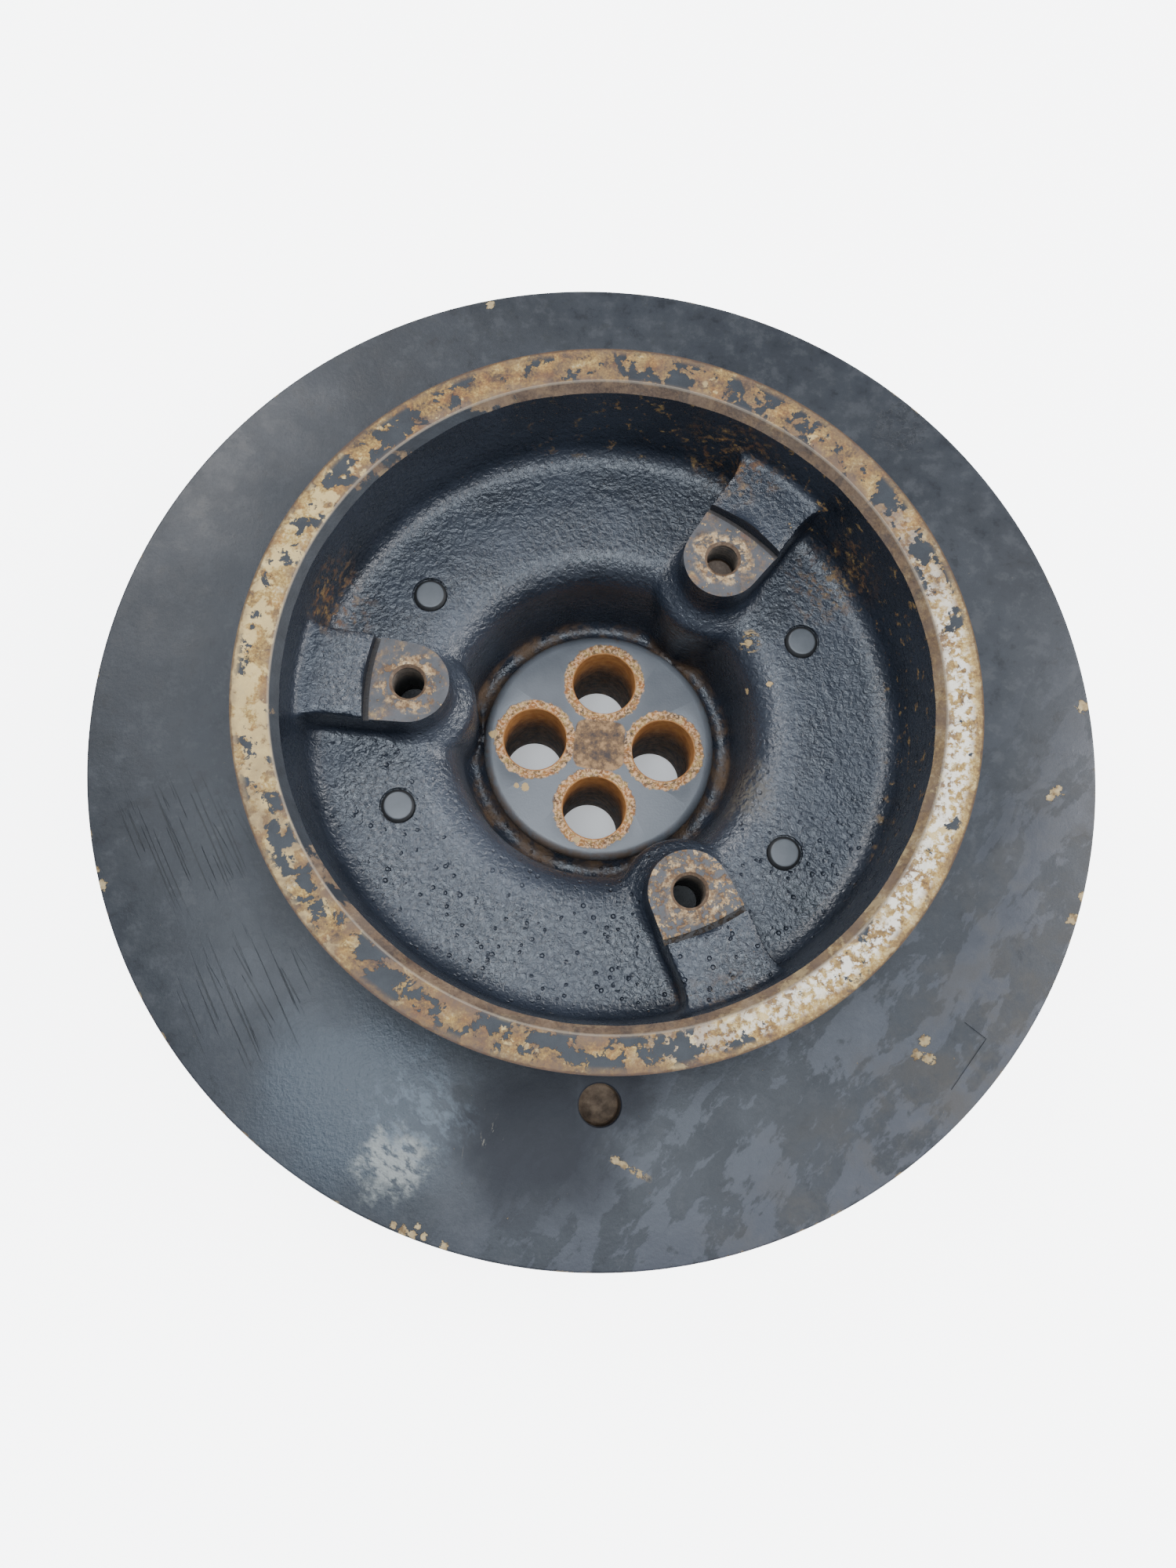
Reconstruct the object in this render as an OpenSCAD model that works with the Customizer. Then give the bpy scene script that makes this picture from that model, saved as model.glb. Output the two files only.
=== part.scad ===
// Crankshaft pulley with a rubber-tuned torsional vibration damper.
// The origin is the centre of the hub's rear face, which bolts to the crankshaft nose.
// +Z runs forward along the crankshaft axis, out of the open dish.

/* [Inertia ring] */
// Outside diameter of the heavy ring
ring_d = 350; // [340:1:365]
// Bore of the heavy ring, bonded to the rubber
ring_bore_d = 223; // [223:0.5:226]
// Thickness of the heavy ring
ring_t = 32; // [26:1:36]
// Height of the ring's front face above the hub's rear face
ring_face_z = 58; // [56:0.5:60]
// Diameter of the blind timing hole
timing_d = 13.8; // [10:0.1:15]
// Distance of the timing hole from the axis
timing_r = 123.2; // [121:0.1:130]
// Depth of the timing hole
timing_depth = 14; // [8:1:20]

/* [Pulley rim] */
// Outside diameter of the belt rim
rim_d = 226.8; // [225:0.1:230]
// Height of the rim's front face
rim_z = 118; // [114:0.5:120]
// Inside diameter of the rim at its front chamfer
rim_mouth_d = 199; // [197:0.5:200]
// Width and depth of the chamfer inside the rim's front edge
rim_chamfer = 2.8; // [1:0.1:4]
// Number of belt ribs
rib_count = 10; // [6:1:12]
// Pitch of the belt ribs
rib_pitch = 3.56; // [3.2:0.01:3.7]
// Depth of the belt grooves
rib_depth = 3; // [2:0.1:3.2]

/* [Dish] */
// Height of the dish floor
floor_z = 80.6; // [79:0.1:82]
// Thickness of the dish floor
web_t = 12; // [10:0.5:13]
// Radius of the corner between the dish floor and its wall
wall_fillet = 6.5; // [4:0.5:8]
// Inside radius of the dish wall at the floor corner
wall_r = 97; // [96:0.1:98]
// Radius of the rolled edge where the floor drops to the hub
lip_r = 12; // [8:0.5:13]

/* [Hub] */
// Height of the hub plate that the crankshaft bolts clamp
plate_z = 49.6; // [48:0.1:51]
// Radius of the hub plate over its rounded edge
plate_r = 40.8; // [39:0.1:42]
// Radius of the groove around the hub plate
valley_r = 3.3; // [2.5:0.1:3.5]
// Diameter of the nose that runs in the oil seal
nose_d = 85; // [80:0.5:88]
// Length of the nose
nose_len = 32; // [28:1:34]
// Diameter of the barrel that carries the damper
barrel_d = 120; // [118:0.5:124]
// Diameter of the crankshaft bolt holes
crank_hole_d = 22; // [18:0.5:23]
// Pitch circle diameter of the crankshaft bolt holes
crank_pcd = 45.5; // [44:0.5:47]
// Angle of the first crankshaft bolt hole
crank_clock = -4.6; // [-10:0.1:10]

/* [Bosses] */
// Height of the machined boss pads
pad_z = 97.5; // [95:0.5:99]
// Pitch circle diameter of the boss holes
boss_pcd = 127; // [124:0.5:130]
// Angle of the first boss
boss_clock = 53.3; // [40:0.1:65]
// Radius of the rounded inner end of a boss
boss_r = 13; // [12:0.1:14]
// Height of the arms above the pads
arm_step = 3; // [2:0.1:4]
// Inside radius of the turned step that centres the driven part
spigot_r = 77; // [76:0.1:78]
// Diameter of the tapped holes over the thread crests
tap_d = 10.2; // [8.5:0.1:10.5]
// Depth of the tapped holes
tap_depth = 24; // [16:1:24]

/* [Damper carrier] */
// Thickness of the carrier plate
carrier_t = 8; // [6:0.5:8]
// Outside diameter of the carrier sleeve, bonded to the rubber
sleeve_d = 215; // [213:0.5:217]
// Thickness of the carrier sleeve
sleeve_t = 8; // [5:0.5:10]
// Diameter of the carrier pins
pin_d = 11; // [9:0.1:12]
// Distance of the carrier pins from the axis
pin_r = 72.7; // [71:0.1:75]
// Angle by which the pin pattern is turned
pin_clock = -6.6; // [-10:0.1:10]

/* [Hidden] */
$fn = 120;
eps = 0.01;

// Colours
BLACK_PAINT = [0.10, 0.11, 0.13];
GREY_PAINT = [0.30, 0.32, 0.34];
DARK_STEEL = [0.24, 0.25, 0.27];
RUBBER = [0.05, 0.05, 0.05];

// Heights and radii that follow from the sizes above
web_z = floor_z - web_t;
valley_z = plate_z - 4.1;
valley_c = plate_r + valley_r;
well_r = plate_r + 2 * valley_r;
lip_c = well_r + 2.6 + lip_r;
plate_round = 3;
foot_z = valley_z - valley_r - 2;
rim_r = rim_d / 2;
mouth_r = rim_mouth_d / 2;
barrel_r = barrel_d / 2;
nose_r = nose_d / 2;
edge = 0.5;
rib_start = (web_z + rim_z - rib_count * rib_pitch) / 2;
rib_flat = 0.5;
arm_z = pad_z + arm_step;
boss_angles = [for (i = [0:2]) boss_clock + 120 * i];
crank_angles = [for (i = [0:3]) crank_clock + 90 * i];
pin_angles = [for (a = [30, 150, 210, 330]) a + pin_clock];
pin_chamfer = 1.1;
pin_gap = 0.5;
pin_gap_depth = 1.2;
pin_proud = 0.3;
carrier_clear = 0.1;
bond_gap = 0.05;
rubber_set_back = 2;

// Points on an arc about [cx, cy], from angle a to angle b in n steps
function arc(cx, cy, r, a, b, n = 8) =
    [for (i = [0:n]) [cx + r * cos(a + (b - a) * i / n), cy + r * sin(a + (b - a) * i / n)]];

// Groove edges of the ribbed belt track, from the rear to the front
function belt_track() = [for (i = [0:rib_count - 1], p = [0:3])
    let (z0 = rib_start + i * rib_pitch, half = (rib_pitch - rib_flat) / 2)
    [p == 1 || p == 2 ? rim_r - rib_depth : rim_r - 0.6,
     z0 + [rib_flat / 2, half - rib_flat / 2 + 0.2, half + rib_flat / 2 + 0.3, rib_pitch - rib_flat / 2][p]]];

// Half section of the pulley casting, as radius and height
function hub_section() = concat(
    [[0, 0], [nose_r - 1, 0], [nose_r, 1], [nose_r, nose_len], [barrel_r - 4, nose_len + 6],
     [barrel_r, nose_len + 12], [barrel_r, web_z], [rim_r - edge, web_z], [rim_r, web_z + edge],
     [rim_r, rib_start - 1], [rim_r - 0.6, rib_start - 0.4]],
    belt_track(),
    [[rim_r - 0.6, rim_z - (rib_start - web_z) + 0.4], [rim_r, rim_z - (rib_start - web_z) + 1],
     [rim_r, rim_z - edge], [rim_r - edge, rim_z], [mouth_r + rim_chamfer, rim_z],
     [mouth_r, rim_z - rim_chamfer]],
    arc(wall_r - wall_fillet, floor_z + wall_fillet, wall_fillet, 0, -90),
    arc(lip_c, floor_z - lip_r, lip_r, 90, 180),
    arc(valley_c, valley_z, valley_r, 0, -180),
    arc(plate_r - plate_round, plate_z - plate_round, plate_round, 0, 90, 4),
    [[0, plate_z]]);

// Plan of one arm, lying along +X and flaring where it meets the dish wall
module arm_plan() {
    flare = 14;
    root = 88;
    half = boss_r + 0.9;
    polygon(concat(
        [[boss_pcd / 2, -boss_r]],
        [[spigot_r, -half]],
        arc(root, -half - flare, flare, 90, 55, 6),
        [[mouth_r + 4, -half - 8], [mouth_r + 4, half + 8]],
        arc(root, half + flare, flare, -55, -90, 6),
        [[spigot_r, half]],
        [[boss_pcd / 2, boss_r]]));
}

// Round foot of a boss, filleted into the floor and rolled over the hub well
module boss_foot() {
    foot_r = 20.5;
    roll = 6;
    fillet = 5;
    ledge_z = floor_z - 0.3;
    rotate_extrude()
        polygon(concat(
            [[0, foot_z], [foot_r, foot_z]],
            arc(foot_r - roll, ledge_z - roll, roll, 0, 80, 6),
            [[foot_r - roll, ledge_z]],
            arc(boss_r + fillet, ledge_z + fillet, fillet, 235, 180, 4),
            [[boss_r, pad_z], [0, pad_z]]));
}

// Space that the arms and bosses may fill: into the rim, and no lower than the dish floor or barrel
module arm_room() {
    bury = 1;
    outer = mouth_r + 1.5;
    rotate_extrude()
        polygon([[0, foot_z], [barrel_r - bury, foot_z], [barrel_r - bury, web_z + bury],
                 [outer, web_z + bury], [outer, rim_z], [0, rim_z]]);
}

// One arm with its boss, lying along +X
module arm() {
    intersection() {
        union() {
            translate([0, 0, web_z + 1]) linear_extrude(arm_z - web_z - 1) arm_plan();
            translate([boss_pcd / 2, 0, 0]) boss_foot();
        }
        arm_room();
    }
}

module at_angles(angles, r = 0) {
    for (a = angles) rotate(a) translate([r, 0, 0]) children();
}

// Hole that runs down from height z, with a countersink
module tapped_hole(z) {
    sink = 0.9;
    translate([0, 0, z - tap_depth]) cylinder(d = tap_d, h = tap_depth + 1);
    translate([0, 0, z - sink]) cylinder(r1 = tap_d / 2, r2 = tap_d / 2 + sink, h = sink + eps);
}

// Turned recess over the pads, with a relief groove at the foot of its step
module spigot_cut() {
    groove_w = 1.9;
    groove_depth = 1.5;
    translate([0, 0, pad_z]) cylinder(r = spigot_r, h = arm_step + 1);
    translate([0, 0, pad_z - groove_depth]) difference() {
        cylinder(r = spigot_r, h = groove_depth + 1);
        translate([0, 0, -1]) cylinder(r = spigot_r - groove_w, h = groove_depth + 3);
    }
}

// Clearance ring around the head of a carrier pin
module pin_seat() {
    translate([0, 0, web_z - 1]) cylinder(d = pin_d, h = web_t + 2);
    translate([0, 0, floor_z - pin_gap_depth]) cylinder(d = pin_d + 2 * pin_gap, h = pin_gap_depth + 1);
}

module pulley_hub() {
    color(BLACK_PAINT)
        difference() {
            union() {
                rotate_extrude() polygon(hub_section());
                at_angles(boss_angles) arm();
            }
            spigot_cut();
            at_angles(boss_angles, boss_pcd / 2) tapped_hole(pad_z);
            at_angles(crank_angles, crank_pcd / 2)
                translate([0, 0, -1]) cylinder(d = crank_hole_d, h = plate_z + 2);
            at_angles(pin_angles, pin_r) pin_seat();
        }
}

module damper_carrier() {
    inner = barrel_r + carrier_clear;
    sleeve_r = sleeve_d / 2;
    bottom = ring_face_z - ring_t + rubber_set_back;
    color(DARK_STEEL)
        difference() {
            rotate_extrude()
                polygon([[inner, web_z], [inner, web_z - carrier_t],
                         [sleeve_r - sleeve_t, web_z - carrier_t], [sleeve_r - sleeve_t, bottom + 1],
                         [sleeve_r - sleeve_t + 1, bottom], [sleeve_r - 1, bottom],
                         [sleeve_r, bottom + 1], [sleeve_r, web_z - 2], [sleeve_r - 2, web_z]]);
            at_angles(pin_angles, pin_r)
                translate([0, 0, web_z - carrier_t - 1]) cylinder(d = pin_d, h = carrier_t + 2);
        }
}

// Pin through the dish floor and the carrier plate, chamfered at both ends
module carrier_pin(i) {
    low = web_z - carrier_t - 2;
    high = floor_z + pin_proud;
    color(GREY_PAINT)
        at_angles([pin_angles[i]], pin_r)
            rotate_extrude()
                polygon([[0, low], [pin_d / 2 - pin_chamfer, low], [pin_d / 2, low + pin_chamfer],
                         [pin_d / 2, high - pin_chamfer], [pin_d / 2 - pin_chamfer, high], [0, high]]);
}

module rubber_ring() {
    low = ring_face_z - ring_t + rubber_set_back;
    high = ring_face_z - rubber_set_back;
    color(RUBBER)
        rotate_extrude()
            polygon([[sleeve_d / 2, low + 1], [sleeve_d / 2 + 1.5, low + 2],
                     [ring_bore_d / 2 - bond_gap, low], [ring_bore_d / 2 - bond_gap, high],
                     [sleeve_d / 2 + 1.5, high - 1.5], [sleeve_d / 2, high]]);
}

module inertia_ring() {
    low = ring_face_z - ring_t;
    bevel = 0.8;
    color(GREY_PAINT)
        difference() {
            rotate_extrude()
                polygon([[ring_bore_d / 2 + bevel, low], [ring_d / 2 - bevel, low],
                         [ring_d / 2, low + bevel], [ring_d / 2, ring_face_z - bevel],
                         [ring_d / 2 - bevel, ring_face_z], [ring_bore_d / 2 + bevel, ring_face_z],
                         [ring_bore_d / 2, ring_face_z - bevel], [ring_bore_d / 2, low + bevel]]);
            at_angles([-90.25], timing_r)
                translate([0, 0, ring_face_z - timing_depth]) cylinder(d = timing_d, h = timing_depth + 1);
        }
}

pulley_hub();
damper_carrier();
carrier_pin(0);  // carrier_pin_1
carrier_pin(1);  // carrier_pin_2
carrier_pin(2);  // carrier_pin_3
carrier_pin(3);  // carrier_pin_4
rubber_ring();
inertia_ring();
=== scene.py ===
"""Looks of a crankshaft pulley with its vibration damper, standing on its nose with the open dish up."""

import math

import bmesh
import bpy
from mathutils import Matrix, Vector, noise


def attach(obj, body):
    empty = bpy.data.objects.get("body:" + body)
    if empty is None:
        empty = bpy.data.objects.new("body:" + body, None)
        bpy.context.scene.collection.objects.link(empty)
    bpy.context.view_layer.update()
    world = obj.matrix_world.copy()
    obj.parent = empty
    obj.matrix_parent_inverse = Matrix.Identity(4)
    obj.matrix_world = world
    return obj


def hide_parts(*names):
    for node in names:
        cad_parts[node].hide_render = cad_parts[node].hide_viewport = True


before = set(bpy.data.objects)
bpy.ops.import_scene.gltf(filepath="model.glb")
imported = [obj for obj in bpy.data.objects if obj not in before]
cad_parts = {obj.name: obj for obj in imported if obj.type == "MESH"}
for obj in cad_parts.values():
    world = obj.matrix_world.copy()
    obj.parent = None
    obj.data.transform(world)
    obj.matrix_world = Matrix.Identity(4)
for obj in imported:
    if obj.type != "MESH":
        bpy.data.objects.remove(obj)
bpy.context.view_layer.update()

MM = 0.001
FULL_TURN = 2 * math.pi

# Sizes of the part in millimetres, as in its CAD model
RING_R, RING_BORE_R, RING_TOP, RING_T = 175, 111.5, 58, 32
TIMING_R, TIMING_HOLE_R, TIMING_DEPTH = 123.2, 6.9, 14
RIM_R, RIM_TOP, MOUTH_R, RIM_CHAMFER = 113.4, 118, 99.5, 2.8
RIB_COUNT, RIB_PITCH, RIB_DEPTH = 10, 3.56, 3
FLOOR, WEB_LOW, WALL_R, WALL_FILLET, LIP_R = 80.6, 68.6, 97, 6.5, 12
PLATE, PLATE_R, PLATE_ROUND, VALLEY_R = 49.6, 40.8, 3, 3.3
NOSE_R, NOSE_LEN, BARREL_R = 42.5, 32, 60
CRANK_HOLE_R, CRANK_PCR = 11, 22.75
PAD, ARM_TOP, BOSS_PCR, BOSS_R, SPIGOT_R = 97.5, 100.5, 63.5, 13, 77
TAP_CREST_R, TAP_ROOT_R, TAP_PITCH, TAP_MOUTH_R = 5.1, 5.95, 1.75, 7
TAP_DEPTHS = (13.5, 24, 24)  # the upper hole is blocked further up
GROOVE_DEPTH, GROOVE_WIDTH = 1.5, 1.9
PIN_R, PIN_PCR, PIN_GAP, PIN_SEAT = 5.5, 72.7, 0.5, 1.6
SLEEVE_R, SLEEVE_T, CARRIER_T = 107.5, 8, 8
BOSS_ANGLES = [53.3, 173.3, 293.3]
CRANK_ANGLES = [-4.6 + 90 * i for i in range(4)]
PIN_ANGLES = [a - 6.6 for a in (30, 150, 210, 330)]
TIMING_ANGLE = -90.25

# How the casting is softened: grid, passes, and the height and width of its two swells
VOXEL, SOFTENING = 1.15, 3
SWELLS = ((0.22, 14, (0, 0, 0)), (0.09, 5, (7, 3, 1)))


# Finishes of the pulley, in the order of its material slots
DISH, RIM_FACE, PADS, THREADS, HUB_PLATE, BORES, OUTSIDE = range(7)


# ---------------------------------------------------------------- shapes


def arc(cx, cy, r, start, end, steps=8):
    """Points on an arc about (cx, cy), angles in degrees."""
    turns = [math.radians(start + (end - start) * i / steps) for i in range(steps + 1)]
    return [(cx + r * math.cos(t), cy + r * math.sin(t)) for t in turns]


def turned(section, steps):
    """A closed solid turned about Z from a section of (radius, height) points."""
    bm = bmesh.new()
    corners = [bm.verts.new((r, 0, z)) for r, z in section]
    pairs = list(zip(corners, corners[1:]))
    if section[0][0] > 0:
        pairs.append((corners[-1], corners[0]))
    edges = [bm.edges.new(pair) for pair in pairs]
    bmesh.ops.spin(
        bm, geom=corners + edges, cent=(0, 0, 0), axis=(0, 0, 1), angle=FULL_TURN, steps=steps, use_merge=True
    )
    bmesh.ops.remove_doubles(bm, verts=bm.verts, dist=1e-4)
    bmesh.ops.recalc_face_normals(bm, faces=bm.faces)
    return bm


def extruded(plan, low, high):
    """A closed prism on a plan of (x, y) points."""
    bm = bmesh.new()
    base = bm.faces.new([bm.verts.new((x, y, low)) for x, y in plan])
    raised = bmesh.ops.extrude_face_region(bm, geom=[base])["geom"]
    lifted = [v for v in raised if isinstance(v, bmesh.types.BMVert)]
    bmesh.ops.translate(bm, verts=lifted, vec=(0, 0, high - low))
    bmesh.ops.recalc_face_normals(bm, faces=bm.faces)
    return bm


def at(angle, r=0.0, z=0.0):
    """The place at a distance r from the axis in the direction angle, turned to face outwards."""
    return Matrix.Rotation(math.radians(angle), 4, "Z") @ Matrix.Translation((r, 0, z))


def gather(*placed):
    """One mesh from several (solid, place) pairs."""
    whole = bmesh.new()
    for solid, place in placed:
        solid.transform(place)
        mesh = bpy.data.meshes.new("solid")
        solid.to_mesh(mesh)
        solid.free()
        whole.from_mesh(mesh)
        bpy.data.meshes.remove(mesh)
    return whole


def stand(name, bm):
    """An object in the scene that holds the mesh."""
    mesh = bpy.data.meshes.new(name)
    bm.to_mesh(mesh)
    bm.free()
    obj = bpy.data.objects.new(name, mesh)
    bpy.context.scene.collection.objects.link(obj)
    return obj


def bake(obj):
    """Makes the object's modifiers part of its mesh."""
    graph = bpy.context.evaluated_depsgraph_get()
    made = bpy.data.meshes.new_from_object(obj.evaluated_get(graph))
    obj.modifiers.clear()
    rough = obj.data
    obj.data = made
    bpy.data.meshes.remove(rough)


def combine(obj, tool, operation):
    """Joins the tool's solid to the object, or cuts it away, and clears the tool."""
    step = obj.modifiers.new(operation, "BOOLEAN")
    step.operation = operation
    step.solver = "MANIFOLD"
    step.object = tool
    bake(obj)
    bpy.data.objects.remove(tool)


def finish_piece(obj, body, node, crease=32.0):
    """Sharpens the machined edges, brings the piece to metres and hands it to its body."""
    bm = bmesh.new()
    bm.from_mesh(obj.data)
    bmesh.ops.remove_doubles(bm, verts=bm.verts, dist=0.005)
    bmesh.ops.dissolve_degenerate(bm, edges=bm.edges, dist=0.002)
    for face in bm.faces:
        face.smooth = True
    for edge in bm.edges:
        edge.smooth = edge.calc_face_angle(FULL_TURN) < math.radians(crease)
    bmesh.ops.scale(bm, verts=bm.verts, vec=(MM, MM, MM))
    bm.to_mesh(obj.data)
    bm.free()
    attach(obj, body)
    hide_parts(node)


def cast_section():
    """Section of the cast dish: wall, floor, rolled lip and the groove round the hub plate."""
    wall_lean = (MOUTH_R - WALL_R) / (RIM_TOP - RIM_CHAMFER - FLOOR - WALL_FILLET)
    over = RIM_TOP + 6
    mouth = WALL_R + wall_lean * (over - FLOOR - WALL_FILLET)
    well_r = PLATE_R + 2 * VALLEY_R
    lip_c = well_r + 2.6 + LIP_R
    groove_z = PLATE - 4.1
    return (
        [(30, 38), (BARREL_R - 4, 38), (BARREL_R, 72), (106, 72), (106, over), (mouth, over)]
        + arc(WALL_R - WALL_FILLET, FLOOR + WALL_FILLET, WALL_FILLET, 0, -90)
        + arc(lip_c, FLOOR - LIP_R, LIP_R, 90, 180, 12)
        + arc(PLATE_R + VALLEY_R, groove_z, VALLEY_R, 0, -180)
        + [(30, groove_z)]
    )


def arm_plan():
    """Plan of an arm along +X, flaring into the dish wall."""
    half, flare, root = BOSS_R + 0.9, 14, 88
    side = [(BOSS_PCR, BOSS_R), (SPIGOT_R, half)] + arc(root, half + flare, flare, -90, -52, 6)
    side.append((MOUTH_R + 4, half + 9))
    return side + [(x, -y) for x, y in reversed(side)]


def boss_section():
    """Section of a boss, filleted into the floor and rolled over into the hub well."""
    foot_r, roll, fillet = 20.5, 6, 5
    return (
        [(0, 42), (foot_r, 42)]
        + arc(foot_r - roll, FLOOR - roll, roll, 0, 84, 6)
        + arc(BOSS_R + fillet, FLOOR + fillet, fillet, 240, 180, 4)
        + [(BOSS_R, PAD + 5), (0, PAD + 5)]
    )


def belt_track():
    """Corners of the ribs, from the rear to the front."""
    start = (WEB_LOW + RIM_TOP - RIB_COUNT * RIB_PITCH) / 2
    crest, root = RIM_R - 0.6, RIM_R - RIB_DEPTH
    half = RIB_PITCH / 2
    points = [(RIM_R, WEB_LOW + 0.5), (RIM_R, start - 1), (crest, start - 0.4)]
    for i in range(RIB_COUNT):
        z = start + i * RIB_PITCH
        points += [(crest, z + 0.25), (root, z + half - 0.2)]
        points += [(root, z + half + 0.2), (crest, z + RIB_PITCH - 0.25)]
    end = start + RIB_COUNT * RIB_PITCH
    return points + [(crest, end + 0.4), (RIM_R, end + 1)]


def turned_section():
    """Section of the machined outside of the pulley, left open where the casting fills it."""
    over = RIM_TOP + 5
    return (
        [(0, 0), (NOSE_R - 1, 0), (NOSE_R - 0.3, 0.3), (NOSE_R, 1), (NOSE_R, NOSE_LEN)]
        + [(BARREL_R - 4, NOSE_LEN + 6), (BARREL_R, NOSE_LEN + 12), (BARREL_R, WEB_LOW)]
        + [(RIM_R - 0.5, WEB_LOW)]
        + belt_track()
        + [(RIM_R, over), (103, over), (103, 76), (BARREL_R, 76), (BARREL_R - 4, 70), (BARREL_R - 6, 40)]
        + [(PLATE_R, 40)]
        + arc(PLATE_R - PLATE_ROUND, PLATE - PLATE_ROUND, PLATE_ROUND, 0, 90, 6)
        + [(0, PLATE)]
    )


def thread_section(depth):
    """Section of a tapped hole with its thread and countersink, down from the pad."""
    crest, root, pitch = TAP_CREST_R, TAP_ROOT_R, TAP_PITCH
    points = [(0, PAD + 1), (TAP_MOUTH_R, PAD + 1), (crest, PAD - 0.9)]
    z = PAD - 1.2
    while z - pitch > PAD - depth + 1:
        points += [(crest, z), (root, z - pitch * 0.44), (root, z - pitch * 0.56)]
        z -= pitch
    return points + [(crest, z), (crest, PAD - depth), (0, PAD - depth - 0.8)]


def cast_skin():
    """The cast dish with its arms, softened and a little uneven, as sand leaves it."""
    solids = [(turned(cast_section(), 200), Matrix())]
    for angle in BOSS_ANGLES:
        solids.append((extruded(arm_plan(), 73, ARM_TOP), at(angle)))
        solids.append((turned(boss_section(), 64), at(angle, BOSS_PCR)))
    bm = gather(*solids)
    low = [v for v in bm.verts if v.co.z < WEB_LOW + 4 and math.hypot(v.co.x, v.co.y) > BARREL_R - 2]
    for v in low:
        v.co.z = WEB_LOW + 3.4
    obj = stand("pulley", bm)
    voxels = obj.modifiers.new("skin", "REMESH")
    voxels.mode = "VOXEL"
    voxels.voxel_size = VOXEL
    bake(obj)
    bm = bmesh.new()
    bm.from_mesh(obj.data)
    for _ in range(SOFTENING):
        bmesh.ops.smooth_vert(
            bm, verts=bm.verts, factor=0.5, use_axis_x=True, use_axis_y=True, use_axis_z=True
        )
    bm.normal_update()
    for v in bm.verts:
        swell = sum(high * noise.noise(v.co / wide + Vector(place)) for high, wide, place in SWELLS)
        v.co += v.normal * swell
    bm.to_mesh(obj.data)
    bm.free()
    return obj


def make_hub():
    """The pulley: casting and turned outside as one solid, then every machined face and hole cut in it."""
    hub = cast_skin()
    combine(hub, stand("outside", turned(turned_section(), 288)), "UNION")
    over = RIM_TOP + 20
    slope = 12
    face_cut = turned(
        [
            (MOUTH_R + RIM_CHAMFER - slope, over),
            (RIM_R + 8, over),
            (RIM_R + 8, RIM_TOP),
            (MOUTH_R + RIM_CHAMFER, RIM_TOP),
            (MOUTH_R + RIM_CHAMFER - slope, RIM_TOP - slope),
        ],
        288,
    )
    groove_r = SPIGOT_R - GROOVE_WIDTH
    pad_cut = turned(
        [(0, PAD), (groove_r, PAD), (groove_r, PAD - GROOVE_DEPTH), (SPIGOT_R, PAD - GROOVE_DEPTH)]
        + [(SPIGOT_R, PAD + 7), (0, PAD + 7)],
        192,
    )
    combine(hub, stand("turning", gather((face_cut, Matrix()), (pad_cut, Matrix()))), "DIFFERENCE")
    holes = []
    for angle, depth in zip(BOSS_ANGLES, TAP_DEPTHS):
        holes.append((turned(thread_section(depth), 40), at(angle, BOSS_PCR)))
    bore = [(0, -1), (CRANK_HOLE_R + 1.6, -1), (CRANK_HOLE_R, 0.6), (CRANK_HOLE_R, PLATE - 0.5)]
    bore += [(CRANK_HOLE_R + 0.15, PLATE - 0.2), (CRANK_HOLE_R + 0.5, PLATE), (CRANK_HOLE_R + 0.5, PLATE + 1)]
    for angle in CRANK_ANGLES:
        holes.append((turned(bore + [(0, PLATE + 1)], 72), at(angle, CRANK_PCR)))
    seat_r = PIN_R + PIN_GAP
    seat = [(0, FLOOR - PIN_SEAT), (seat_r, FLOOR - PIN_SEAT), (seat_r, FLOOR + 2), (0, FLOOR + 2)]
    for angle in PIN_ANGLES:
        holes.append((turned(seat, 48), at(angle, PIN_PCR)))
    combine(hub, stand("holes", gather(*holes)), "DIFFERENCE")
    return hub


def make_ring():
    """The heavy ring with softly broken edges, its blind timing hole and a blank sunk field."""
    low, edge = RING_TOP - RING_T, 0.8
    section = (
        [(RING_BORE_R + edge, low)]
        + arc(RING_R - edge, low + edge, edge, -90, 0, 3)
        + arc(RING_R - edge, RING_TOP - edge, edge, 0, 90, 3)
        + arc(RING_BORE_R + edge, RING_TOP - edge, edge, 90, 180, 3)
        + [(RING_BORE_R, low + edge)]
    )
    ring = stand("heavy_ring", turned(section, 360))
    bottom = RING_TOP - TIMING_DEPTH
    drill = [(0, bottom - 1), (TIMING_HOLE_R - 0.4, bottom), (TIMING_HOLE_R, bottom + 0.6)]
    drill += [(TIMING_HOLE_R, RING_TOP - 0.4), (TIMING_HOLE_R + 0.5, RING_TOP + 0.1)]
    drill += [(TIMING_HOLE_R + 0.5, RING_TOP + 2), (0, RING_TOP + 2)]
    blank = [(-10.5, -4.5), (10.5, -4.5), (10.5, 4.5), (-10.5, 4.5)]
    field = Matrix.Translation((119, -107.5, 0)) @ Matrix.Rotation(math.radians(52), 4, "Z")
    tools = gather(
        (turned(drill, 64), at(TIMING_ANGLE, TIMING_R)),
        (extruded(blank, RING_TOP - 0.4, RING_TOP + 1), field),
    )
    combine(ring, stand("drill", tools), "DIFFERENCE")
    return ring


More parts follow.
